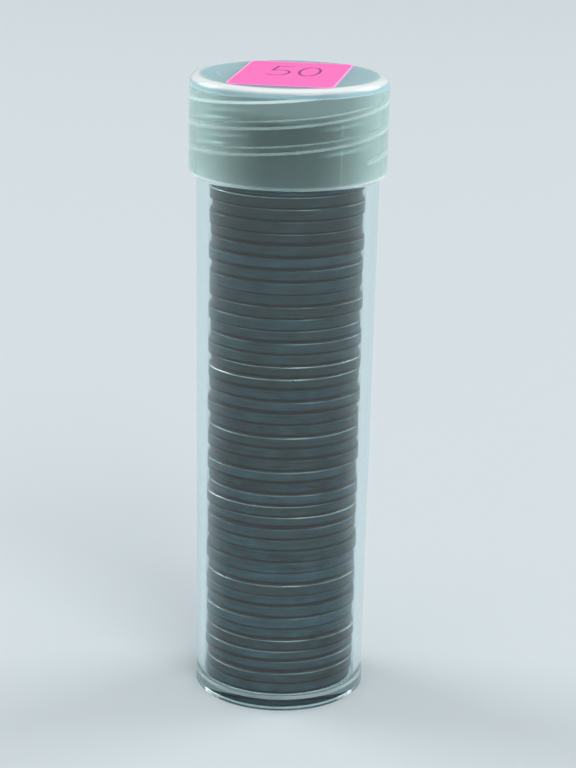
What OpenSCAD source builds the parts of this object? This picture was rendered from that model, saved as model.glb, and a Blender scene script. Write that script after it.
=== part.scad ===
// Screw-capped round coin tube, full of coins, in millimetres.
// Z runs up the tube's axis and Z = 0 is the surface that the foot stands on.

/* [Coins] */
// Diameter of one coin
coin_d = 19.05; // [16:0.05:22]
// Thickness of one coin at its rim
coin_t = 1.52; // [1.3:0.01:2]
// Number of coins that fill the tube
coin_count = 50; // [14:1:56]
// Width of the raised rim round a coin's face
coin_rim_w = 0.9; // [0.6:0.05:1.5]
// Depth of the field inside the raised rim
coin_field_drop = 0.12; // [0.05:0.01:0.2]
// Radius of the rounded edges of a coin
coin_edge_r = 0.2; // [0.1:0.01:0.3]
// How far coins stray sideways in the bore
coin_stray = 0.2; // [0:0.05:0.25]

/* [Tube] */
// Gap all round between a centred coin and the bore
bore_gap = 0.36; // [0.3:0.01:0.6]
// Thickness of the wall at the foot, where it is thinnest
wall_foot_t = 1.04; // [0.8:0.02:1.4]
// Growth of the outside radius from foot to shoulder, for release from the mould
wall_draft = 0.48; // [0.3:0.02:0.8]
// Height of the floor that the coins stand on
floor_z = 1.8; // [1.5:0.1:3]
// Depth of the recess under the floor, inside the foot's ring
foot_recess = 0.3; // [0.25:0.05:0.8]
// Height of the flange round the foot
flange_h = 2; // [1.2:0.1:3]
// How far the flange stands out from the wall
flange_step = 0.1; // [0.05:0.01:0.4]
// Width of the ring that the tube stands on
foot_ring_w = 1.3; // [1:0.1:3]
// Diameter of the moulding gate's mark under the floor
gate_d = 2.4; // [1:0.1:4]
// Height of the gate's mark, within the foot's recess
gate_h = 0.15; // [0.1:0.05:0.2]
// Thickness of the neck's wall
neck_t = 0.75; // [0.6:0.05:1]
// Height of the gap between the cap's mouth and the ledge below it
ledge_gap = 0.25; // [0.15:0.05:1]
// How far the rim stands above the top coin
rim_over_coins = 1.35; // [0.5:0.05:3]
// Radius of the tube's outer edges
tube_edge_r = 0.25; // [0.1:0.05:0.4]

/* [Cap] */
// Height of the cap
cap_h = 12; // [11.2:0.1:12.5]
// Thickness of the cap's top plate
cap_plate_t = 1.1; // [0.5:0.1:1.5]
// Thickness of the cap's skirt
cap_wall_t = 0.9; // [0.7:0.05:1.2]
// Radius of the cap's rounded top edge
cap_edge_r = 0.9; // [0.3:0.05:1.1]
// Radius of the edges at the cap's mouth
cap_mouth_r = 0.25; // [0.1:0.05:0.4]
// Gap between the tube's rim and the plate of the closed cap
seat_gap = 0.15; // [0.1:0.05:0.4]

/* [Thread] */
// Rise of the thread in one turn
thread_lead = 6.2; // [5.8:0.1:8]
// Number of thread starts
thread_starts = 2; // [2:1:2]
// Height of the ridges on the neck
neck_ridge_h = 0.55; // [0.4:0.05:0.6]
// Height of the ridges in the cap
cap_ridge_h = 0.55; // [0.4:0.05:0.6]
// Radial gap between the neck's ridges and the cap's skirt
thread_gap = 0.25; // [0.2:0.05:0.4]
// Width of a ridge where it meets its wall
ridge_root_w = 1.3; // [1:0.05:1.4]
// Width of a ridge at its crest
ridge_crest_w = 0.6; // [0.4:0.05:0.8]
// Height of the neck's ridges above the cap's ridges that pull against them
ridge_lift = 1.3; // [1.25:0.05:1.6]
// Height of the cap's lowest ridge end above the cap's mouth
cap_thread_z = 2.5; // [1.8:0.1:3]
// Angle at which one of the cap's ridges starts
cap_thread_deg = 316; // [0:1:359]
// Angle through which the neck's ridges run behind the cap's
neck_thread_lag = 66; // [40:1:90]
// Distance of the neck's highest ridge end below the rim
neck_thread_top = 0.95; // [0.9:0.05:1.5]

/* [Label] */
// Width of the paper label on the cap
label_w = 13.1; // [8:0.1:16]
// Length of the label
label_l = 18.9; // [10:0.1:20]
// Thickness of the label's paper
label_t = 0.1; // [0.08:0.01:0.2]
// Radius of the label's corners
label_corner_r = 1.2; // [0.5:0.1:3]
// Angle of the label on the cap, anticlockwise from above
label_deg = -9; // [-180:1:180]
// Place of the label's centre to the right of the axis
label_x = 0.2; // [-2:0.1:2]
// Place of the label's centre behind the axis
label_y = -0.3; // [-2:0.1:3]

/* [Hidden] */
$fn = 120;
// Steps in one turn of a thread ridge
TURN_STEPS = 48;
// Steps in a rounded edge
EDGE_STEPS = 4;
// Angle over which a ridge fades into its wall
FADE_DEG = 30;
// Share of a ridge's height, from its root, that is left where it has faded below the wall's face
FADED_SHARE = 1 / 6;
// Angle between the directions in which neighbouring coins stray
STRAY_DEG = 137.5;

coin_r = coin_d / 2;
bore_r = coin_r + bore_gap;
foot_wall_r = bore_r + wall_foot_t;
top_wall_r = foot_wall_r + wall_draft;
flange_r = foot_wall_r + flange_step;
floor_t = floor_z - foot_recess;
neck_r = bore_r + neck_t;
stack_top_z = floor_z + coin_count * coin_t;
rim_z = stack_top_z + rim_over_coins;

cap_in_r = neck_r + neck_ridge_h + thread_gap;
cap_r = cap_in_r + cap_wall_t;
plate_z = rim_z + seat_gap;
cap_top_z = plate_z + cap_plate_t;
cap_low_z = cap_top_z - cap_h;
shoulder_z = cap_low_z - ledge_gap;

// How deep a ridge is rooted in its wall, and how far cuts run past a face
root_sink = cap_ridge_h / 3;
overrun = wall_foot_t;
// Height that a ridge climbs while it turns through an angle
function climb(deg) = thread_lead * deg / 360;
// The cap's ridges run on into the plate, the neck's end below the rim
cap_ridge_z = cap_low_z + cap_thread_z;
cap_ridge_deg = (plate_z + ridge_root_w - cap_ridge_z) / climb(1);
neck_ridge_start = cap_thread_deg - neck_thread_lag;
neck_ridge_z = cap_ridge_z - climb(neck_thread_lag) + ridge_lift;
neck_ridge_deg = (rim_z - neck_thread_top - neck_ridge_z) / climb(1);

function coin_name(i) = str("coin_", i < 10 ? "0" : "", i);

// Points of a rounded corner about a centre, from one angle to another
function corner(c, r, from, to) =
    [for (k = [0 : EDGE_STEPS]) let (a = from + (to - from) * k / EDGE_STEPS) c + r * [cos(a), sin(a)]];

// How far a ridge has risen out of its wall, as a share of its full height, at an angle along it
function risen(deg, total, fade_end) =
    max(FADED_SHARE, min(1, deg / FADE_DEG, fade_end ? (total - deg) / FADE_DEG : 1));

// A thread ridge that winds up the wall at wall_r from the angle start, through the angle total
// side is 1 where the ridge stands outwards and -1 where it stands inwards
module ridge(start, z, total, wall_r, h, side, fade_end) {
    steps = ceil(total / 360 * TURN_STEPS);
    sink_r = wall_r - side * root_sink;
    function ring(deg) = let (
        crest_r = sink_r + side * (h + root_sink) * risen(deg, total, fade_end),
        low = [[sink_r, -ridge_root_w / 2], [crest_r, -ridge_crest_w / 2]],
        high = [[crest_r, ridge_crest_w / 2], [sink_r, ridge_root_w / 2]],
        loop = side > 0 ? concat(low, high) : [high[1], high[0], low[1], low[0]]
    ) [for (p = loop) [p.x * cos(start + deg), p.x * sin(start + deg), z + climb(deg) + p.y]];
    points = [for (i = [0 : steps]) each ring(total * i / steps)];
    walls = [for (i = [0 : steps - 1], j = [0 : 3])
        let (a = i * 4 + j, b = i * 4 + (j + 1) % 4) each [[a, b, b + 4], [a, b + 4, a + 4]]];
    last = steps * 4;
    ends = [[3, 2, 1], [3, 1, 0], [last, last + 1, last + 2], [last, last + 2, last + 3]];
    polyhedron(points, concat(walls, ends));
}

// Clear rigid tube with its foot, shoulder and threaded neck
module tube() {
    e = tube_edge_r;
    color([0.72, 0.88, 0.9, 0.4])
    difference() {
        union() {
            rotate_extrude() polygon(concat(
                [[0, foot_recess], [flange_r - foot_ring_w, foot_recess], [flange_r - foot_ring_w, 0]],
                corner([flange_r - e, e], e, -90, 0),
                [[flange_r, flange_h - flange_step], [foot_wall_r, flange_h]],
                corner([top_wall_r - e, shoulder_z - e], e, 0, 90),
                [[neck_r, shoulder_z]],
                corner([neck_r - e, rim_z - e], e, 0, 90),
                [[0, rim_z]]));
            translate([0, 0, foot_recess - gate_h]) cylinder(d = gate_d, h = gate_h + floor_t / 2);
            for (k = [0 : thread_starts - 1])
                ridge(neck_ridge_start + 360 * k / thread_starts, neck_ridge_z, neck_ridge_deg,
                    neck_r, neck_ridge_h, 1, true);
        }
        translate([0, 0, floor_z]) cylinder(r = bore_r, h = rim_z - floor_z + overrun);
    }
}

// Translucent screw cap
module cap() {
    color([0.78, 0.85, 0.83, 0.75]) {
        rotate_extrude() polygon(concat(
            [[0, plate_z], [cap_in_r, plate_z]],
            corner([cap_in_r + cap_mouth_r, cap_low_z + cap_mouth_r], cap_mouth_r, 180, 270),
            corner([cap_r - cap_mouth_r, cap_low_z + cap_mouth_r], cap_mouth_r, -90, 0),
            corner([cap_r - cap_edge_r, cap_top_z - cap_edge_r], cap_edge_r, 0, 90),
            [[0, cap_top_z]]));
        // The ridges are cut off level halfway up the plate
        intersection() {
            for (k = [0 : thread_starts - 1])
                ridge(cap_thread_deg + 360 * k / thread_starts, cap_ridge_z, cap_ridge_deg,
                    cap_in_r, cap_ridge_h, -1, false);
            cylinder(r = cap_r, h = plate_z + cap_plate_t / 2);
        }
    }
}

// Paper label stuck on the cap, with rounded corners
module label() {
    in_w = label_w - 2 * label_corner_r;
    in_l = label_l - 2 * label_corner_r;
    color([1, 0.52, 0.8])
    translate([label_x, label_y, cap_top_z]) rotate(label_deg)
    linear_extrude(label_t) union() {
        square([label_w, in_l], center = true);
        square([in_w, label_l], center = true);
        for (x = [-in_w / 2, in_w / 2], y = [-in_l / 2, in_l / 2])
            translate([x, y]) circle(label_corner_r);
    }
}

// One coin, counted from the floor: a disc with raised rims and rounded edges
module coin(i) {
    field_r = coin_r - coin_rim_w;
    slope = coin_field_drop;
    e = coin_edge_r;
    place = coin_stray * [cos(i * STRAY_DEG), sin(i * STRAY_DEG)];
    color([0.3, 0.42, 0.45])
    translate([place.x, place.y, floor_z + (i - 1) * coin_t])
    rotate_extrude() polygon(concat(
        [[0, coin_field_drop], [field_r - slope, coin_field_drop], [field_r, 0]],
        corner([coin_r - e, e], e, -90, 0),
        corner([coin_r - e, coin_t - e], e, 0, 90),
        [[field_r, coin_t], [field_r - slope, coin_t - coin_field_drop], [0, coin_t - coin_field_drop]]));
}

tube();
cap();
label();
for (i = [1 : coin_count]) coin(i);
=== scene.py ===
"""A clear coin tube with a milky screw cap, a paper label and fifty coins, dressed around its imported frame.

Z runs up the tube's axis from the surface that the foot stands on. Sizes are in millimetres until a mesh is
made, and those of the studio are in metres.
"""
import math
import random

import bmesh
import bpy
from mathutils import Matrix, Vector


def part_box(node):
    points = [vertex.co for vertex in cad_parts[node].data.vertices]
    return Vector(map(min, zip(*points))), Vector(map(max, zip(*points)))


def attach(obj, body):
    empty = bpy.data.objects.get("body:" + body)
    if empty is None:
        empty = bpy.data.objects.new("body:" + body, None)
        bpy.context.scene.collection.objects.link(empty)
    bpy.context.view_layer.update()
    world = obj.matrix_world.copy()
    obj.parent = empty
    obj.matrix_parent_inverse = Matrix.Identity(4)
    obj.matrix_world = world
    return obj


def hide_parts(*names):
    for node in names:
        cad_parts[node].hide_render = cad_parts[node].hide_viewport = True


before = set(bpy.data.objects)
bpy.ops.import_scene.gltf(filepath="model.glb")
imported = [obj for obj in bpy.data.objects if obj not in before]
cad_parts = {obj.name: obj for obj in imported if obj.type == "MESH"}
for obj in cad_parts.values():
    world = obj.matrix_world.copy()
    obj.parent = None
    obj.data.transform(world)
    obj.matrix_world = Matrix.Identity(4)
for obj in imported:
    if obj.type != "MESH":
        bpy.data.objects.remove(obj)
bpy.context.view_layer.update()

MM = 0.001


def frame_box(node):
    """Lowest and highest corners of a node of the frame, in millimetres."""
    low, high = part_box(node)
    return low / MM, high / MM


# Camera at the photograph's viewing angle

CAMERA_PLACE = (0, -258.63, 120.87)
CAMERA_YAW_DEG = 0.113
CAMERA_DOWN_DEG = 17.224
CAMERA_ROLL_DEG = 1.095
SENSOR = 36
LENS = 99.23

yaw, down, roll = (math.radians(a) for a in (CAMERA_YAW_DEG, CAMERA_DOWN_DEG, CAMERA_ROLL_DEG))
ahead = Vector((math.sin(yaw) * math.cos(down), math.cos(yaw) * math.cos(down), -math.sin(down)))
level = Vector((math.cos(yaw), -math.sin(yaw), 0))
upright = level.cross(ahead)
right = math.cos(roll) * level + math.sin(roll) * upright
up = math.cos(roll) * upright - math.sin(roll) * level
camera_data = bpy.data.cameras.new("camera")
camera_data.lens = LENS
camera_data.sensor_width = SENSOR
camera = bpy.data.objects.new("camera", camera_data)
camera_turn = Matrix((right, up, -ahead)).transposed().to_4x4()
camera.matrix_world = Matrix.Translation(Vector(CAMERA_PLACE) * MM) @ camera_turn
bpy.context.scene.collection.objects.link(camera)
bpy.context.scene.camera = camera


# Sizes of the object, from the frame where a box gives them

# Tube
BORE_GAP = 0.36
FOOT_WALL_T = 1.04
NECK_T = 0.75
FOOT_RECESS = 0.3
FLANGE_STEP = 0.1
FLANGE_H = 2
FOOT_RING_W = 1.3
GATE_R = 1.2
GATE_H = 0.15
LEDGE_GAP = 0.25
FLOOR_FILLET = 0.4
EDGE_R = 0.25
GATE_EDGE_R = 0.05
FOOT_EDGE_R = 0.08
STEP_EDGE_R = 0.03
NECK_ROOT_R = 0.1
BORE_EDGE_R = 0.15
# The pale rubbed line round the foot flange: its width, and how far its middle lies below the flange's top
RUBBED_W = 0.44
RUBBED_DROP = 0.15

# Cap
CAP_PLATE_T = 1.1
CAP_EDGE_R = 0.9
CAP_INNER_FILLET = 0.2
PARTING = math.radians(301)
PARTING_RISE = 0.012
# Where the cap's milky places start and where they are at their most: above its mouth, in from its skirt,
# beside the mould's parting line, on the plate's underside and in the skirt below the plate. The white at the
# mouth and in the top corner is a painted glow, and the milk in the skirt below the plate is painted light
# from above
RIM_FADE = (0.4, 0.2)
CORNER_FADE = (1.7, 1.1)
PARTING_FADE = (0.35, 0.05)
PLATE_FADE = (0.1, 0.02)
TOP_LIGHT_PAINT_FADE = (3, 1.8)
# A rubbed mark on the plate
SCUFF_PLACE = (-8.7, -1)
SCUFF_DEG = -77
SCUFF_L = 9
SCUFF_W = 0.6

# Thread ridges
RIDGE_H = 0.55
RIDGE_ROOT_W = 1.3
RIDGE_CREST_W = 0.6
RIDGE_CREST_R = 0.15
RIDGE_SINK = 0.18
# Least upward or downward part of the normal of a ridge's flank
FLANK_TILT = 0.2
THREAD_GAP = 0.25
THREAD_LEAD = 6.2
THREAD_STARTS_DEG = (0, 180)
CAP_THREAD_DEG = 316
CAP_THREAD_RISE = 2.5
NECK_THREAD_LAG_DEG = 66
NECK_THREAD_LIFT = 1.3
NECK_THREAD_TOP = 0.95

# Coins
COIN_COUNT = 50
COIN_R = 9.525
COIN_T = 1.52
COIN_RIM_W = 0.9
COIN_DROP = 0.12
COIN_RIM_R = 0.06
COIN_FIELD_FILLET = 0.04
# Least and most radius of the coins' lower and upper outer edges, which wear has rounded
LOW_EDGE_R = (0.06, 0.14)
HIGH_EDGE_R = (0.06, 0.11)
# Distances in from a coin's edge over which its painted crevice shade and its worn, highlighted top edge set
# in
WEAR_AND_SHADE_FADE = (0.9, 0.5)
# Shares of a coin's height: painted crevice shade at the least and at the most, its soft end, and the worn
# top edge with its painted highlight
CREVICE_SHADE_SHARE = (0.1, 0.32)
CREVICE_SHADE_FADE = 0.08
WORN_HIGHLIGHT_SHARE = (0.88, 0.93)
# The design struck on the faces that end the stack
RELIEF_H = 0.06
WREATH_R = 6.6
WREATH_DEG = 150
WREATH_LEAVES = 13
LEAF_W = 0.6
LEAF_L = 2
LEAF_LEAN = math.radians(35)
STEM_GAP = 0.2
NUMBER_W = 3
NUMBER_H = 6.4
NUMBER_STROKE = 1.3

# Label
LABEL_W = 13.1
LABEL_L = 18.9
LABEL_T = 0.1
LABEL_CORNER_R = 1.2
LABEL_EDGE_W = 0.22
LABEL_DEG = -9
LABEL_PLACE = (0.2, -0.3)
PENCIL_W = 0.34
PENCIL_T = 0.02

tube_low, tube_high = frame_box("tube")
cap_low, cap_high = frame_box("cap")
BORE_R = COIN_R + BORE_GAP
FOOT_WALL_R = BORE_R + FOOT_WALL_T
NECK_R = BORE_R + NECK_T
TOP_WALL_R = (tube_high.x - tube_low.x) / 2
FLANGE_R = FOOT_WALL_R + FLANGE_STEP
RIM_Z = tube_high.z
CAP_IN_R = NECK_R + RIDGE_H + THREAD_GAP
CAP_R = (cap_high.x - cap_low.x) / 2
CAP_TOP = cap_high.z
CAP_LOW = cap_low.z
PLATE_Z = CAP_TOP - CAP_PLATE_T
FLOOR_Z = frame_box("coin_01")[0].z
SHOULDER_Z = CAP_LOW - LEDGE_GAP
CAP_THREAD_Z = CAP_LOW + CAP_THREAD_RISE
NECK_THREAD_DEG = CAP_THREAD_DEG - NECK_THREAD_LAG_DEG
NECK_THREAD_Z = CAP_THREAD_Z - THREAD_LEAD * NECK_THREAD_LAG_DEG / 360 + NECK_THREAD_LIFT

# Half the hairline left between touching pieces, so that no two faces lie in one plane
HAIRLINE = 0.004
# Distance from a rounded corner to the ring that keeps the flat face beside it flat
HOLD = 0.03
# Times that a ray may turn back in a clear or milky wall before it is let out
MOST_TURNS = 2
LATHE_STEPS = 192
COIN_STEPS = 96
# Least angle at which an edge is shaded as a sharp one
SHARP_DEG = 32


# Mesh tools

def finished(name, bm, material):
    """Makes an object of the bmesh, smooth apart from its sharp edges."""
    bmesh.ops.recalc_face_normals(bm, faces=bm.faces)
    mark_sharp(bm)
    mesh = bpy.data.meshes.new(name)
    bm.to_mesh(mesh)
    bm.free()
    mesh.materials.append(material)
    piece = bpy.data.objects.new(name, mesh)
    bpy.context.scene.collection.objects.link(piece)
    return piece


def mark_sharp(bm):
    """Shades every face smoothly, and parts the shading at the sharp edges."""
    for face in bm.faces:
        face.smooth = True
    for edge in bm.edges:
        edge.smooth = edge.calc_face_angle(0) < math.radians(SHARP_DEG)


def rounded(corners, steps=5):
    """Points of an outline of (radius, height, corner radius), with arcs for its corners."""
    points = []
    for i, (x, z, r) in enumerate(corners):
        here = Vector((x, z))
        if not r:
            points.append(here)
            continue
        back = (Vector(corners[i - 1][:2]) - here).normalized()
        on = (Vector(corners[i + 1][:2]) - here).normalized()
        half = back.angle(on) / 2
        reach = r / math.tan(half)
        centre = here + (back + on).normalized() * r / math.sin(half)
        spoke = here + back * reach - centre
        turn = spoke.angle_signed(here + on * reach - centre)
        points.append(here + back * (reach + HOLD))
        for k in range(steps + 1):
            a = -turn * k / steps
            points.append(centre + Vector((spoke.x * math.cos(a) - spoke.y * math.sin(a),
                                           spoke.x * math.sin(a) + spoke.y * math.cos(a))))
        points.append(here + on * (reach + HOLD))
    return points


def lathe(outline, centre=(0, 0), steps=LATHE_STEPS):
    """A bmesh turned round the axis from an outline that starts and ends on it."""
    bm = bmesh.new()
    verts = [bm.verts.new((x * MM, 0, z * MM)) for x, z in outline]
    edges = [bm.edges.new(pair) for pair in zip(verts, verts[1:])]
    bmesh.ops.spin(bm, geom=verts + edges, cent=(0, 0, 0), axis=(0, 0, 1), angle=2 * math.pi,
                   steps=steps, use_merge=True)
    bmesh.ops.remove_doubles(bm, verts=bm.verts, dist=HAIRLINE * MM / 10)
    bmesh.ops.translate(bm, verts=bm.verts, vec=Vector((*centre, 0)) * MM)
    return bm


def thread_ridge(start_deg, z, total_deg, wall_r, side, fade_end, top_z=None):
    """A bmesh of one ridge that winds up a wall: side is 1 where it stands outwards and -1 where inwards.
    It either fades out at its end or is cut off level at top_z."""
    fade_deg = 30
    least_share = 1 / 6
    turn_steps = 180
    root_r = wall_r - side * RIDGE_SINK
    half_root, half_crest = RIDGE_ROOT_W / 2, RIDGE_CREST_W / 2
    section = rounded([(0, -half_root, 0), (RIDGE_H + RIDGE_SINK, -half_crest, RIDGE_CREST_R),
                       (RIDGE_H + RIDGE_SINK, half_crest, RIDGE_CREST_R), (0, half_root, 0)], 3)
    bm = bmesh.new()
    verts = [bm.verts.new(((root_r + side * x) * MM, 0, h * MM)) for x, h in section]
    edges = [bm.edges.new(pair) for pair in zip(verts, verts[1:] + verts[:1])]
    steps = math.ceil(total_deg / 360 * turn_steps)
    climb = THREAD_LEAD * total_deg / 360
    bmesh.ops.spin(bm, geom=verts + edges, cent=(0, 0, 0), axis=(0, 0, 1), angle=math.radians(total_deg),
                   dvec=(0, 0, climb / steps * MM), steps=steps)
    bmesh.ops.holes_fill(bm, edges=[e for e in bm.edges if e.is_boundary])
    for v in bm.verts:
        around = math.degrees(math.atan2(v.co.y, v.co.x)) % 360
        turns = round((v.co.z / MM / THREAD_LEAD) - around / 360)
        deg = around + 360 * turns
        risen = max(least_share, min(1, deg / fade_deg, (total_deg - deg) / fade_deg if fade_end else 1))
        r = v.co.xy.length
        v.co.xy *= (root_r * MM + (r - root_r * MM) * risen) / r
    bmesh.ops.rotate(bm, verts=bm.verts, matrix=Matrix.Rotation(math.radians(start_deg), 3, "Z"))
    bmesh.ops.translate(bm, verts=bm.verts, vec=(0, 0, z * MM))
    if top_z:
        bmesh.ops.bisect_plane(bm, geom=bm.verts[:] + bm.edges[:] + bm.faces[:],
                               plane_co=(0, 0, top_z * MM), plane_no=(0, 0, 1), clear_outer=True)
        bmesh.ops.holes_fill(bm, edges=[e for e in bm.edges if e.is_boundary])
    return bm


def with_ridges(piece, ridges):
    """Joins the ridges to the piece as one closed skin."""
    cutters = []
    for i, bm in enumerate(ridges):
        cutters.append(finished(f"{piece.name}_ridge_{i}", bm, piece.data.materials[0]))
        union = piece.modifiers.new(f"ridge_{i}", "BOOLEAN")
        union.operation = "UNION"
        union.solver = "EXACT"
        union.object = cutters[-1]
    joined = bpy.data.meshes.new_from_object(piece.evaluated_get(bpy.context.evaluated_depsgraph_get()))
    piece.modifiers.clear()
    for cutter in cutters:
        bpy.data.objects.remove(cutter)
    bm = bmesh.new()
    bm.from_mesh(joined)
    mark_sharp(bm)
    bm.to_mesh(joined)
    bm.free()
    round_walls(joined)
    piece.data = joined


def round_walls(mesh):
    """Gives upright round walls the normals of a true cylinder, which the union's cuts had bent."""
    normals = [Vector(corner.vector) for corner in mesh.corner_normals]
    for polygon in mesh.polygons:
        middle = Vector((*polygon.center.xy, 0)).normalized()
        if abs(polygon.normal.dot(middle)) < math.cos(math.pi / LATHE_STEPS):
            continue
        side = math.copysign(1, polygon.normal.dot(middle))
        for i in polygon.loop_indices:
            spot = mesh.vertices[mesh.loops[i].vertex_index].co
            outwards = Vector((*spot.xy, 0)).normalized() * side
            normals[i] = (outwards + Vector((0, 0, polygon.normal.z))).normalized()
    mesh.normals_split_custom_set(normals)


# Material tools

def colour(hex_code):
    """Linear colour of an sRGB hex value."""
    channels = [int(hex_code[i:i + 2], 16) / 255 for i in (1, 3, 5)]
    return [c / 12.92 if c <= 0.04045 else ((c + 0.055) / 1.055) ** 2.4 for c in channels] + [1]


def per_mm(size):
    """Scale of a pattern on Object coordinates whose features are that many millimetres apart."""
    return 1 / (size * MM)


def new_material(name):
    """A material with an empty node tree."""
    material = bpy.data.materials.new(name)
    material.use_nodes = True
    material.node_tree.nodes.clear()
    return material, material.node_tree


def add(tree, kind, inputs=None, **settings):
    """Adds a node with its settings; an input is a value, or another node's socket to link."""
    node = tree.nodes.new("ShaderNode" + kind)
    for name, value in settings.items():
        setattr(node, name, value)
    for name, value in (inputs or {}).items():
        if isinstance(value, bpy.types.NodeSocket):
            tree.links.new(value, node.inputs[name])
        else:
            node.inputs[name].default_value = value
    return node


def output(tree, surface, volume=None):
    """Gives the material its surface, and its volume where it has one."""
    links = {"Surface": surface}
    if volume:
        links["Volume"] = volume
    add(tree, "OutputMaterial", links)


def see_through(tree, skin, tint):
    """The skin for what the eye sees, and a plain tint for light that passes on to what is inside. Rays
    that the wall has turned back too often are let out too, so that a thick corner doesn't go black."""
    clear = add(tree, "BsdfTransparent", {"Color": colour(tint)})
    rays = add(tree, "LightPath")
    trapped = add(tree, "Math", {0: rays.outputs["Glossy Depth"], 1: MOST_TURNS}, operation="GREATER_THAN")
    passes = add(tree, "Math", {0: rays.outputs["Is Shadow Ray"], 1: trapped.outputs[0]},
                 operation="MAXIMUM")
    mixed = add(tree, "MixShader", {0: passes.outputs[0], 1: skin.outputs[0], 2: clear.outputs[0]})
    return mixed.outputs[0]


def clear_polystyrene():
    """Crystal polystyrene, injection moulded: clear and glossy, with a cool tint where the eye looks along
    the wall, faint waves left by the mould, and a pale rubbed line round the edge of the foot flange."""
    material, tree = new_material("clear_moulded_polystyrene")
    place = add(tree, "TexCoord").outputs["Object"]
    axes = add(tree, "SeparateXYZ", {"Vector": place})
    flat = add(tree, "Mapping", {"Vector": place, "Scale": (1, 1, 0)})
    reach = add(tree, "VectorMath", {0: flat.outputs[0]}, operation="LENGTH")
    outside = add(tree, "Math", {0: reach.outputs["Value"], 1: (BORE_R + FOOT_WALL_R) / 2 * MM},
                  operation="GREATER_THAN")
    on_edge = add(tree, "Math", {0: axes.outputs["Z"], 1: (FLANGE_H - RUBBED_DROP) * MM,
                                 2: RUBBED_W / 2 * MM}, operation="COMPARE")
    rubbed = add(tree, "Math", {0: on_edge.outputs[0], 1: outside.outputs[0]}, operation="MULTIPLY")
    patches = add(tree, "TexNoise", {"Vector": place, "Scale": per_mm(4), "Detail": 1})
    cover = add(tree, "MapRange", {"Value": patches.outputs[0], "From Min": 0.3, "From Max": 0.7,
                                   "To Min": 0.25, "To Max": 0.4})
    cover = add(tree, "Math", {0: rubbed.outputs[0], 1: cover.outputs[0]}, operation="MULTIPLY")
    clear = add(tree, "MapRange", {"Value": cover.outputs[0], "To Min": 1, "To Max": 0})
    rough = add(tree, "MapRange", {"Value": cover.outputs[0], "To Min": 0.02, "To Max": 0.5})
    stretched = add(tree, "Mapping", {"Vector": place, "Scale": (1, 1, 0.25)}).outputs[0]
    waves = add(tree, "TexNoise", {"Vector": stretched, "Scale": per_mm(5), "Detail": 1})
    bump = add(tree, "Bump", {"Strength": 0.012, "Distance": 0.1 * MM, "Height": waves.outputs[0]})
    skin = add(tree, "BsdfPrincipled", {
        "Base Color": colour("#f4fbfb"), "Roughness": rough.outputs[0], "IOR": 1.5,
        "Transmission Weight": clear.outputs[0], "Normal": bump.outputs[0]})
    tint = add(tree, "VolumeAbsorption", {"Color": colour("#c9e6ea"), "Density": 90})
    output(tree, see_through(tree, skin, "#eef7f7"), tint.outputs[0])
    return material


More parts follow.
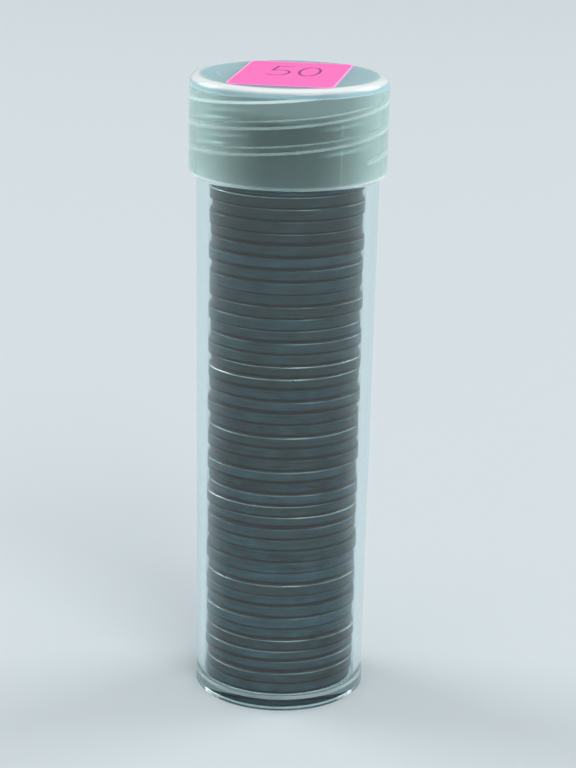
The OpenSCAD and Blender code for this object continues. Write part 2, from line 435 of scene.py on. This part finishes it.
def milky_polyethylene(name, least_milk, side_milk, painted_top_light, middle_hex, side_hex):
    """Natural low-density polyethylene, injection moulded: waxy and milky, with a matt inner side. It lets
    less through, and looks whiter, where the eye looks along the wall, and it lets less through at its mouth
    and in the corner round its top, which are painted white, a painted glow of scattered light. The milk is
    the share that doesn't pass: at the least, along the wall, and just under the plate, where it is painted
    light from above. The colours are those seen straight through the wall and along it; for the ridges, the
    dark middle colour is painted shade and the white at the sides and under the plate is painted light."""
    material, tree = new_material(name)
    place = add(tree, "TexCoord").outputs["Object"]
    axes = add(tree, "SeparateXYZ", {"Vector": place})
    flat = add(tree, "Mapping", {"Vector": place, "Scale": (1, 1, 0)})
    reach = add(tree, "VectorMath", {0: flat.outputs[0]}, operation="LENGTH")
    outwards = add(tree, "VectorTransform", {"Vector": flat.outputs[0]}, vector_type="NORMAL",
                   convert_from="OBJECT", convert_to="WORLD")
    facing = add(tree, "LayerWeight", {"Blend": 0.5, "Normal": outwards.outputs[0]})
    sideways = add(tree, "MapRange", {"Value": facing.outputs["Facing"], "From Min": 0.03,
                                      "From Max": 0.42})

    in_bore = add(tree, "Math", {0: reach.outputs["Value"], 1: (CAP_IN_R + CAP_R) / 2 * MM},
                  operation="LESS_THAN")
    below_plate = add(tree, "Math", {0: axes.outputs["Z"], 1: (PLATE_Z + CAP_TOP) / 2 * MM},
                      operation="LESS_THAN")
    inner_side = add(tree, "Math", {0: in_bore.outputs[0], 1: below_plate.outputs[0]}, operation="MULTIPLY")
    most = add(tree, "MapRange", {"Value": inner_side.outputs[0], "To Min": 0.2, "To Max": side_milk})
    wall = add(tree, "Math", {0: sideways.outputs[0], 1: most.outputs[0]}, operation="MULTIPLY")

    # Painted glow of scattered light: white at the mouth, brighter towards the sides, and in the corner round
    # the top
    painted_rim_glow = add(tree, "MapRange", {"Value": sideways.outputs[0], "To Min": 0.1, "To Max": 1})
    lower_rim = add(tree, "MapRange", {"Value": axes.outputs["Z"], "From Min": (CAP_LOW + RIM_FADE[0]) * MM,
                                       "From Max": (CAP_LOW + RIM_FADE[1]) * MM})
    lower_rim = add(tree, "Math", {0: lower_rim.outputs[0], 1: painted_rim_glow.outputs[0]}, operation="MULTIPLY")
    off_axis = add(tree, "MapRange", {"Value": reach.outputs["Value"],
                                      "From Min": (CAP_R - CORNER_FADE[0]) * MM,
                                      "From Max": (CAP_R - CORNER_FADE[1]) * MM})
    up_corner = add(tree, "MapRange", {"Value": axes.outputs["Z"], "From Min": (CAP_TOP - CAP_EDGE_R) * MM,
                                       "From Max": (CAP_TOP - CAP_EDGE_R / 3) * MM})
    corner = add(tree, "Math", {0: off_axis.outputs[0], 1: up_corner.outputs[0]}, operation="MULTIPLY")
    white = add(tree, "Math", {0: lower_rim.outputs[0], 1: corner.outputs[0]}, operation="MAXIMUM")

    tangent = add(tree, "VectorMath", {0: place, 1: (-math.sin(PARTING), math.cos(PARTING), 0)},
                  operation="DOT_PRODUCT")
    off_parting = add(tree, "Math", {0: tangent.outputs["Value"]}, operation="ABSOLUTE")
    parting = add(tree, "MapRange", {"Value": off_parting.outputs[0], "From Min": PARTING_FADE[0] * MM,
                                     "From Max": PARTING_FADE[1] * MM, "To Max": 0.2})
    on_skirt = add(tree, "Math", {0: reach.outputs["Value"], 1: CAP_IN_R * MM}, operation="GREATER_THAN")
    parting = add(tree, "Math", {0: parting.outputs[0], 1: on_skirt.outputs[0]}, operation="MULTIPLY")
    in_plate = add(tree, "MapRange", {"Value": axes.outputs["Z"],
                                      "From Min": (PLATE_Z - PLATE_FADE[0]) * MM,
                                      "From Max": (PLATE_Z - PLATE_FADE[1]) * MM})
    plate = add(tree, "MapRange", {"Value": inner_side.outputs[0], "To Min": 0.4, "To Max": 0.75})
    plate = add(tree, "Math", {0: in_plate.outputs[0], 1: plate.outputs[0]}, operation="MULTIPLY")
    # Painted light from above: more milk in the skirt just below the plate, and whiter ridges there
    painted_top_light_mask = add(tree, "MapRange", {"Value": axes.outputs["Z"],
                                         "From Min": (PLATE_Z - TOP_LIGHT_PAINT_FADE[0]) * MM,
                                         "From Max": (PLATE_Z - TOP_LIGHT_PAINT_FADE[1]) * MM,
                                         "To Max": painted_top_light})
    scuff = add(tree, "Mapping", {"Vector": place, "Location": (*(c * MM for c in SCUFF_PLACE), 0),
                                  "Rotation": (0, 0, math.radians(SCUFF_DEG)),
                                  "Scale": (SCUFF_L / 2 * MM, SCUFF_W / 2 * MM, 1)}, vector_type="TEXTURE")
    scuff = add(tree, "VectorMath", {0: scuff.outputs[0]}, operation="LENGTH")
    scuff = add(tree, "MapRange", {"Value": scuff.outputs["Value"], "From Min": 1, "From Max": 0.4,
                                   "To Max": 0.6})
    # The milk share takes in the painted glow at the mouth and top corner, and the painted top light below
    # the plate
    thick = white
    for mark in (wall, plate, painted_top_light_mask, parting, scuff):
        thick = add(tree, "Math", {0: thick.outputs[0], 1: mark.outputs[0]}, operation="MAXIMUM")

    cloud = add(tree, "TexNoise", {"Vector": place, "Scale": per_mm(3), "Detail": 3})
    most_clear = add(tree, "MapRange", {"Value": cloud.outputs[0], "To Min": 1 - least_milk + 0.03,
                                        "To Max": 1 - least_milk - 0.03})
    clear = add(tree, "MapRange", {"Value": thick.outputs[0], "To Min": most_clear.outputs[0],
                                   "To Max": 0.06})
    gloss = add(tree, "MapRange", {"Value": cloud.outputs[0], "To Min": 0.05, "To Max": 0.11})
    rough = add(tree, "MapRange", {"Value": inner_side.outputs[0], "To Min": gloss.outputs[0],
                                   "To Max": 0.5})
    grain = add(tree, "TexNoise", {"Vector": place, "Scale": per_mm(0.8), "Detail": 1})
    bump = add(tree, "Bump", {"Strength": 0.03, "Distance": 0.05 * MM, "Height": grain.outputs[0]})
    # Painted light: towards the sides and just under the plate the colour turns to side_hex, white on the
    # ridges
    painted_light_share = add(tree, "Math", {0: sideways.outputs[0], 1: painted_top_light_mask.outputs[0]}, operation="MAXIMUM")
    milk = add(tree, "MixRGB", {0: painted_light_share.outputs[0], 1: colour(middle_hex), 2: colour(side_hex)})
    milk = add(tree, "MixRGB", {0: in_plate.outputs[0], 1: milk.outputs[0], 2: colour("#bfe0e6")})
    # Painted glow: the mouth and the top corner are painted white
    milk = add(tree, "MixRGB", {0: white.outputs[0], 1: milk.outputs[0], 2: colour("#fbffff")})
    skin = add(tree, "BsdfPrincipled", {
        "Base Color": milk.outputs[0], "Roughness": rough.outputs[0], "IOR": 1.51,
        "Transmission Weight": clear.outputs[0], "Normal": bump.outputs[0]})
    output(tree, see_through(tree, skin, "#f2f7f6"))
    return material


def tarnished_steel():
    """Zinc-coated steel, struck and long handled: blue-grey tarnish with darker stains, painted near-black
    shade in the crevice under each coin, and a pale worn line round its top edge that is partly wear and
    partly a painted highlight. Every coin has its own tone, its own band of painted crevice shade, and its
    own wear."""
    material, tree = new_material("tarnished_zinc_coated_steel")
    place = add(tree, "TexCoord").outputs["Object"]
    axes = add(tree, "SeparateXYZ", {"Vector": place})
    height = add(tree, "MapRange", {"Value": axes.outputs["Z"], "From Min": FLOOR_Z * MM,
                                    "From Max": (FLOOR_Z + COIN_T) * MM}, clamp=False)
    index = add(tree, "Math", {0: height.outputs[0]}, operation="FLOOR")
    share_up = add(tree, "Math", {0: height.outputs[0]}, operation="FRACT")
    own = add(tree, "TexWhiteNoise", {"W": index.outputs[0]}, noise_dimensions="1D")
    own = add(tree, "SeparateColor", {"Color": own.outputs["Color"]})

    mottle = add(tree, "TexNoise", {"Vector": place, "Scale": per_mm(2.2), "Detail": 2})
    stretched = add(tree, "Mapping", {"Vector": place, "Scale": (0.3, 0.3, 2.5)})
    scratches = add(tree, "TexNoise", {"Vector": stretched.outputs[0], "Scale": per_mm(1), "Detail": 1})
    shade = add(tree, "Math", {0: own.outputs["Red"], 1: 0.5, 2: mottle.outputs[0]},
                operation="MULTIPLY_ADD")
    shade = add(tree, "Math", {0: shade.outputs[0], 1: scratches.outputs[0]}, operation="ADD")
    shade = add(tree, "MapRange", {"Value": shade.outputs[0], "From Min": 0.85, "From Max": 1.65})
    tarnish = add(tree, "MixRGB", {0: shade.outputs[0], 1: colour("#14282e"), 2: colour("#3a646e")})
    stain = add(tree, "TexNoise", {"Vector": place, "Scale": per_mm(7), "Detail": 2})
    stain = add(tree, "Math", {0: own.outputs["Green"], 1: 0.4, 2: stain.outputs[0]},
                operation="MULTIPLY_ADD")
    stain = add(tree, "Math", {0: index.outputs[0], 1: 0.4 / COIN_COUNT, 2: stain.outputs[0]},
                operation="MULTIPLY_ADD")
    stain = add(tree, "MapRange", {"Value": stain.outputs[0], "From Min": 0.65, "From Max": 1.2,
                                   "To Max": 0.8})
    tarnish = add(tree, "MixRGB", {0: stain.outputs[0], 1: tarnish.outputs[0], 2: colour("#323a37")})

    flat = add(tree, "Mapping", {"Vector": place, "Scale": (1, 1, 0)})
    reach = add(tree, "VectorMath", {0: flat.outputs[0]}, operation="LENGTH")
    outside = add(tree, "MapRange", {"Value": reach.outputs["Value"],
                                     "From Min": (COIN_R - WEAR_AND_SHADE_FADE[0]) * MM,
                                     "From Max": (COIN_R - WEAR_AND_SHADE_FADE[1]) * MM})
    # Painted shade: near-black on the lowest share of each coin's edge, in the joint where it sits on the
    # coin below
    crevice_shade_share = add(tree, "MapRange", {"Value": own.outputs["Blue"], "To Min": CREVICE_SHADE_SHARE[0],
                                         "To Max": CREVICE_SHADE_SHARE[1]})
    unshaded_share = add(tree, "Math", {0: crevice_shade_share.outputs[0], 1: CREVICE_SHADE_FADE}, operation="ADD")
    painted_crevice_shade = add(tree, "MapRange", {"Value": share_up.outputs[0], "From Min": unshaded_share.outputs[0],
                                   "From Max": crevice_shade_share.outputs[0]})
    painted_crevice_shade = add(tree, "Math", {0: painted_crevice_shade.outputs[0], 1: outside.outputs[0]}, operation="MULTIPLY")
    # The pale top edge is partly real wear and partly a painted highlight of the lamps above; the rubbed
    # noise breaks it into patches
    top_edge = add(tree, "MapRange", {"Value": share_up.outputs[0], "From Min": WORN_HIGHLIGHT_SHARE[0],
                                      "From Max": WORN_HIGHLIGHT_SHARE[1]})
    rubbed = add(tree, "TexNoise", {"Vector": place, "Scale": per_mm(5), "Detail": 2})
    rubbed = add(tree, "Math", {0: rubbed.outputs[0], 1: own.outputs["Green"], 2: -0.1},
                 operation="MULTIPLY_ADD")
    rubbed = add(tree, "MapRange", {"Value": rubbed.outputs[0], "From Min": 0.1, "From Max": 0.5,
                                    "To Min": 0.05, "To Max": 1})
    wear_and_highlight = add(tree, "Math", {0: top_edge.outputs[0], 1: outside.outputs[0]}, operation="MULTIPLY")
    wear_and_highlight = add(tree, "Math", {0: wear_and_highlight.outputs[0], 1: rubbed.outputs[0]}, operation="MULTIPLY")

    # Pale worn metal with a painted highlight round the top edge
    metal = add(tree, "MixRGB", {0: wear_and_highlight.outputs[0], 1: tarnish.outputs[0], 2: colour("#c6d4d6")})
    # Near-black painted shade in the crevice under each coin
    metal = add(tree, "MixRGB", {0: painted_crevice_shade.outputs[0], 1: metal.outputs[0], 2: colour("#05090a")})
    rough = add(tree, "MapRange", {"Value": wear_and_highlight.outputs[0], "To Min": 0.42, "To Max": 0.2})
    relief = add(tree, "Math", {0: scratches.outputs[0], 1: mottle.outputs[0]}, operation="ADD")
    bump = add(tree, "Bump", {"Strength": 0.12, "Distance": 0.03 * MM, "Height": relief.outputs[0]})
    skin = add(tree, "BsdfPrincipled", {
        "Base Color": metal.outputs[0], "Metallic": 0.9, "Roughness": rough.outputs[0],
        "Normal": bump.outputs[0]})
    output(tree, skin.outputs[0])
    return material


def label_paper():
    """Self-adhesive paper, printed fluorescent pink: matt, with a faint fibre."""
    material, tree = new_material("fluorescent_pink_paper")
    place = add(tree, "TexCoord").outputs["Object"]
    fibre = add(tree, "TexNoise", {"Vector": place, "Scale": per_mm(0.35), "Detail": 4, "Roughness": 0.7})
    ink = add(tree, "MixRGB", {0: fibre.outputs[0], 1: colour("#fb66b8"), 2: colour("#ff7cc8")})
    bump = add(tree, "Bump", {"Strength": 0.15, "Distance": 0.02 * MM, "Height": fibre.outputs[0]})
    skin = add(tree, "BsdfPrincipled", {"Base Color": ink.outputs[0], "Roughness": 0.75,
                                        "Normal": bump.outputs[0]})
    output(tree, skin.outputs[0])
    return material


def cut_paper():
    """The label's cut edge: the paper's white core, stained by the ink."""
    material, tree = new_material("cut_paper_edge")
    place = add(tree, "TexCoord").outputs["Object"]
    fibre = add(tree, "TexNoise", {"Vector": place, "Scale": per_mm(0.3), "Detail": 3})
    ink = add(tree, "MixRGB", {0: fibre.outputs[0], 1: colour("#ff9ddb"), 2: colour("#ffc0ea")})
    skin = add(tree, "BsdfPrincipled", {"Base Color": ink.outputs[0], "Roughness": 0.85})
    output(tree, skin.outputs[0])
    return material


def graphite():
    """Pencil graphite rubbed onto paper: grey, and broken where the paper's hollows stay bare."""
    material, tree = new_material("pencil_graphite")
    place = add(tree, "TexCoord").outputs["Object"]
    tooth = add(tree, "TexNoise", {"Vector": place, "Scale": per_mm(0.25), "Detail": 3})
    lead = add(tree, "MixRGB", {0: tooth.outputs[0], 1: colour("#7a3a62"), 2: colour("#a04a80")})
    skin = add(tree, "BsdfPrincipled", {"Base Color": lead.outputs[0], "Roughness": 0.5})
    bare = add(tree, "BsdfTransparent")
    cover = add(tree, "MapRange", {"Value": tooth.outputs[0], "From Min": 0.35, "From Max": 0.6,
                                   "To Min": 0.25, "To Max": 0.9})
    mixed = add(tree, "MixShader", {0: cover.outputs[0], 1: bare.outputs[0], 2: skin.outputs[0]})
    output(tree, mixed.outputs[0])
    return material


def pale_card():
    """Card, matt and a cool pale grey."""
    material, tree = new_material("matt_pale_card")
    skin = add(tree, "BsdfPrincipled", {"Base Color": colour("#d2dade"), "Roughness": 0.9})
    output(tree, skin.outputs[0])
    return material


polystyrene = clear_polystyrene()
polyethylene = milky_polyethylene("milky_moulded_polyethylene", least_milk=0.03, side_milk=0.8,
                                  painted_top_light=0.2, middle_hex="#cde6e3", side_hex="#cde6e3")
# The ridges' colours are painted light: dark grey straight on, white at the sides and just under the plate
ridge_polyethylene = milky_polyethylene("milky_moulded_polyethylene_ridge", least_milk=0.6, side_milk=1,
                                        painted_top_light=0.9, middle_hex="#788180", side_hex="#ffffff")
steel = tarnished_steel()
paper = label_paper()
paper_edge = cut_paper()
pencil = graphite()


# Clear tube with its foot, shoulder and threaded neck

ring_in_r = FLANGE_R - FOOT_RING_W
tube = finished("tube_shell", lathe(rounded([
    (0, FOOT_RECESS - GATE_H, 0), (GATE_R, FOOT_RECESS - GATE_H, GATE_EDGE_R),
    (GATE_R, FOOT_RECESS, GATE_EDGE_R), (ring_in_r, FOOT_RECESS, FOOT_EDGE_R), (ring_in_r, 0, FOOT_EDGE_R),
    (FLANGE_R, 0, EDGE_R), (FLANGE_R, FLANGE_H - FLANGE_STEP, STEP_EDGE_R),
    (FOOT_WALL_R, FLANGE_H, STEP_EDGE_R), (TOP_WALL_R, SHOULDER_Z, EDGE_R),
    (NECK_R, SHOULDER_Z, NECK_ROOT_R), (NECK_R, NECK_THREAD_Z - RIDGE_ROOT_W, 0), (NECK_R, RIM_Z, EDGE_R),
    (BORE_R, RIM_Z, BORE_EDGE_R), (BORE_R, FLOOR_Z, FLOOR_FILLET), (0, FLOOR_Z, 0)])), polystyrene)
neck_ridge_deg = (RIM_Z - NECK_THREAD_TOP - NECK_THREAD_Z) / THREAD_LEAD * 360
with_ridges(tube, [thread_ridge(NECK_THREAD_DEG + start, NECK_THREAD_Z, neck_ridge_deg, NECK_R, 1, True)
                   for start in THREAD_STARTS_DEG])
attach(tube, "tube_body")
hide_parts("tube")


# Milky screw cap

cap_bm = lathe(rounded([
    (0, PLATE_Z, 0), (CAP_IN_R, PLATE_Z, CAP_INNER_FILLET), (CAP_IN_R, CAP_LOW, EDGE_R),
    (CAP_R, CAP_LOW, EDGE_R), (CAP_R, CAP_TOP, CAP_EDGE_R), (0, CAP_TOP, 0)]))
# The mould's parting line is one column of the skirt that stands a hair proud
column = round(PARTING / (2 * math.pi) * LATHE_STEPS) * 2 * math.pi / LATHE_STEPS
for v in cap_bm.verts:
    off_column = (math.atan2(v.co.y, v.co.x) - column + math.pi) % (2 * math.pi) - math.pi
    if abs(off_column) < math.pi / LATHE_STEPS and v.co.xy.length > (CAP_R - HOLD) * MM:
        v.co.xy *= 1 + PARTING_RISE / CAP_R
cap = finished("screw_cap", cap_bm, polyethylene)
cap_ridge_deg = (PLATE_Z + RIDGE_ROOT_W - CAP_THREAD_Z) / THREAD_LEAD * 360
with_ridges(cap, [thread_ridge(CAP_THREAD_DEG + start, CAP_THREAD_Z, cap_ridge_deg, CAP_IN_R, -1, False,
                               PLATE_Z + CAP_PLATE_T / 2) for start in THREAD_STARTS_DEG])
# The ridges' flanks turn light back through the skirt; their material paints it as bright lines, white at the
# sides and under the plate and dark grey straight on
cap.data.materials.append(ridge_polyethylene)
for polygon in cap.data.polygons:
    in_skirt = polygon.center.xy.length < CAP_IN_R * MM and CAP_LOW < polygon.center.z / MM < PLATE_Z - HOLD
    polygon.material_index = 1 if in_skirt and abs(polygon.normal.z) > FLANK_TILT else 0
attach(cap, "cap_body")
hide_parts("cap")


# Coins, each with its own wear

field_r = COIN_R - COIN_RIM_W
rng = random.Random(7)
for i in range(1, COIN_COUNT + 1):
    node = f"coin_{i:02d}"
    low, high = frame_box(node)
    bottom, top = low.z + HAIRLINE, high.z - HAIRLINE
    low_r = rng.uniform(*LOW_EDGE_R)
    high_r = rng.uniform(*HIGH_EDGE_R)
    outline = rounded([
        (0, bottom + COIN_DROP, 0), (field_r - COIN_DROP, bottom + COIN_DROP, COIN_FIELD_FILLET),
        (field_r, bottom, COIN_RIM_R), (COIN_R, bottom, low_r), (COIN_R, top, high_r),
        (field_r, top, COIN_RIM_R), (field_r - COIN_DROP, top - COIN_DROP, COIN_FIELD_FILLET),
        (0, top - COIN_DROP, 0)], 4)
    centre = ((low.x + high.x) / 2, (low.y + high.y) / 2)
    coin = finished(f"struck_{node}", lathe(outline, centre, COIN_STEPS), steel)
    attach(coin, "coin_stack")
    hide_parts(node)


# The struck design on the two faces that end the stack: a plain number in a wreath of leaves


def struck_design(name, z, side):
    """The relief on a coin's field at height z, which faces up where side is 1 and down where it is -1."""
    bm = bmesh.new()
    for k in range(1, WREATH_LEAVES + 1):
        for branch in (-1, 1):
            for leaf_side in (-1, 1):
                leaf = bmesh.ops.create_circle(bm, cap_ends=True, segments=12, radius=0.5 * MM)["verts"]
                bmesh.ops.scale(bm, verts=leaf, vec=(LEAF_L, LEAF_W, 1))
                bmesh.ops.translate(bm, verts=leaf, vec=(LEAF_L / 2 * MM, 0, 0))
                bmesh.ops.rotate(bm, verts=leaf, matrix=Matrix.Rotation(leaf_side * LEAF_LEAN, 3, "Z"))
                bmesh.ops.translate(bm, verts=leaf, vec=(0, leaf_side * STEM_GAP * MM, 0))
                bmesh.ops.scale(bm, verts=leaf, vec=(branch, 1, 1))
                bmesh.ops.translate(bm, verts=leaf, vec=(0, -WREATH_R * MM, 0))
                turn = branch * k * WREATH_DEG / WREATH_LEAVES
                bmesh.ops.rotate(bm, verts=leaf, matrix=Matrix.Rotation(math.radians(turn), 3, "Z"))
    side_x, top_y, stem_x = NUMBER_W / 2, NUMBER_H / 2, NUMBER_STROKE / 2
    flag_y, foot_y = top_y - NUMBER_STROKE, stem_x - top_y
    number = [(-side_x, -top_y), (side_x, -top_y), (side_x, foot_y), (stem_x, foot_y), (stem_x, top_y),
              (-stem_x / 2, top_y), (-side_x, flag_y), (-side_x, flag_y - stem_x), (-stem_x, flag_y),
              (-stem_x, foot_y), (-side_x, foot_y)]
    bm.faces.new([bm.verts.new((x * MM, y * MM, 0)) for x, y in number])
    bmesh.ops.recalc_face_normals(bm, faces=bm.faces)
    for face in bm.faces:
        if face.normal.z < 0:
            face.normal_flip()
    raised = bmesh.ops.extrude_face_region(bm, geom=bm.faces[:], use_keep_orig=True)["geom"]
    bmesh.ops.translate(bm, verts=[g for g in raised if isinstance(g, bmesh.types.BMVert)],
                        vec=(0, 0, RELIEF_H * MM))
    crowns = [g for g in raised if isinstance(g, bmesh.types.BMFace)]
    bmesh.ops.inset_individual(bm, faces=crowns, thickness=RELIEF_H * MM, depth=RELIEF_H / 2 * MM,
                               use_even_offset=True)
    bmesh.ops.scale(bm, verts=bm.verts, vec=(side, 1, side))
    bmesh.ops.translate(bm, verts=bm.verts, vec=(0, 0, z * MM))
    return finished(name, bm, steel)


for node, name, side in (("coin_50", "top_coin_design", 1), ("coin_01", "bottom_coin_design", -1)):
    low, high = frame_box(node)
    field_z = (high.z - HAIRLINE - COIN_DROP) if side > 0 else (low.z + HAIRLINE + COIN_DROP)
    design = struck_design(name, field_z - side * HAIRLINE, side)
    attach(design, "coin_stack")


# Paper label

label_bm = bmesh.new()
bmesh.ops.create_grid(label_bm, x_segments=1, y_segments=1, size=0.5)
bmesh.ops.scale(label_bm, verts=label_bm.verts, vec=(LABEL_W * MM, LABEL_L * MM, 1))
bmesh.ops.bevel(label_bm, geom=label_bm.verts, affect="VERTICES", offset=LABEL_CORNER_R * MM, segments=10,
                profile=0.5, material=-1)
bmesh.ops.inset_region(label_bm, faces=label_bm.faces, thickness=LABEL_EDGE_W * MM, use_boundary=True,
                       use_even_offset=True)
label_faces = bmesh.ops.extrude_face_region(label_bm, geom=label_bm.faces[:], use_keep_orig=True)["geom"]
bmesh.ops.translate(label_bm, verts=[g for g in label_faces if isinstance(g, bmesh.types.BMVert)],
                    vec=(0, 0, (LABEL_T - HAIRLINE) * MM))
label_turn = Matrix.Rotation(math.radians(LABEL_DEG), 4, "Z")
label_place = Matrix.Translation(Vector((*LABEL_PLACE, CAP_TOP + HAIRLINE)) * MM) @ label_turn
bmesh.ops.transform(label_bm, matrix=label_place, verts=label_bm.verts)
label = finished("paper_label", label_bm, paper)
label.data.materials.append(paper_edge)
# The face on top within the inset is the printed paper, and the rest is its cut edge
widest = max(label.data.polygons, key=lambda p: (round(p.area, 9), p.center.z))
for polygon in label.data.polygons:
    polygon.material_index = 0 if polygon.index == widest.index else 1
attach(label, "cap_body")
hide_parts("label")

# The number of coins, pencilled on the label as strokes of (right, up) from its centre
FIVE = [(-0.5, 5.4), (-2.4, 5.5), (-2.4, 5.5), (-2.7, 2.1), (-2.7, 2.1), (-1.7, 2.7), (-0.6, 2.1),
        (-0.3, 0.3), (-1, -1.3), (-2.2, -1.6), (-3, -0.9)]
NOUGHT_CENTRE = (2, 2)
NOUGHT_REACH = (1.25, 3.4)
nought = [(NOUGHT_CENTRE[0] + NOUGHT_REACH[0] * math.sin(a),
           NOUGHT_CENTRE[1] + NOUGHT_REACH[1] * math.cos(a))
          for a in (math.radians(deg) for deg in range(-20, 360, 20))]
strokes = bpy.data.curves.new("pencil_strokes", "CURVE")
strokes.dimensions = "3D"
strokes.bevel_depth = PENCIL_W / 2 * MM
strokes.bevel_resolution = 1
strokes.use_fill_caps = True
for points in (FIVE, nought):
    stroke = strokes.splines.new("NURBS")
    stroke.points.add(len(points) - 1)
    for point, (x, y) in zip(stroke.points, points):
        point.co = (x * MM, y * MM, 0, 1)
    stroke.order_u = 3
    stroke.use_endpoint_u = True
drawn = bpy.data.objects.new("pencil_strokes", strokes)
bpy.context.scene.collection.objects.link(drawn)
marks_bm = bmesh.new()
marks_bm.from_mesh(bpy.data.meshes.new_from_object(drawn))
bpy.data.objects.remove(drawn)
bmesh.ops.scale(marks_bm, verts=marks_bm.verts, vec=(1, 1, PENCIL_T / PENCIL_W))
marks_place = Matrix.Translation(Vector((*LABEL_PLACE, CAP_TOP + LABEL_T)) * MM) @ label_turn
bmesh.ops.transform(marks_bm, matrix=marks_place, verts=marks_bm.verts)
marks = finished("pencil_number", marks_bm, pencil)
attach(marks, "cap_body")


# Studio: pale floor, soft lights

FLOOR_REACH = 4
LAMP_REACH = 2

floor_bm = bmesh.new()
bmesh.ops.create_grid(floor_bm, x_segments=1, y_segments=1, size=FLOOR_REACH)
bmesh.ops.translate(floor_bm, verts=floor_bm.verts, vec=(0, 0, -HAIRLINE * MM))
finished("studio_floor", floor_bm, pale_card())


def softbox(name, azimuth_deg, elevation_deg, size, watts):
    """A square lamp that faces the object's middle. Azimuth 0 is the camera's side, and 90 its right."""
    data = bpy.data.lights.new(name, "AREA")
    data.size = size
    data.energy = watts
    lamp = bpy.data.objects.new(name, data)
    a, e = math.radians(azimuth_deg), math.radians(elevation_deg)
    away = Vector((math.sin(a) * math.cos(e), -math.cos(a) * math.cos(e), math.sin(e)))
    lamp.location = Vector((0, 0, RIM_Z / 2 * MM)) + away * LAMP_REACH
    lamp.rotation_euler = away.to_track_quat("Z", "Y").to_euler()
    bpy.context.scene.collection.objects.link(lamp)


softbox("key_softbox", azimuth_deg=27, elevation_deg=42, size=0.9, watts=11)
softbox("right_softbox", azimuth_deg=115, elevation_deg=28, size=1.1, watts=15)
softbox("left_softbox", azimuth_deg=-115, elevation_deg=28, size=1.1, watts=17)
softbox("top_softbox", azimuth_deg=0, elevation_deg=88, size=1.6, watts=10)

world = bpy.data.worlds.new("studio")
bpy.context.scene.world = world
world.use_nodes = True
world.node_tree.nodes.clear()
sky = add(world.node_tree, "Background", {"Color": colour("#dfe6e8"), "Strength": 0.42})
add(world.node_tree, "OutputWorld", {"Surface": sky.outputs[0]})

view = bpy.context.scene.view_settings
view.view_transform = "Standard"
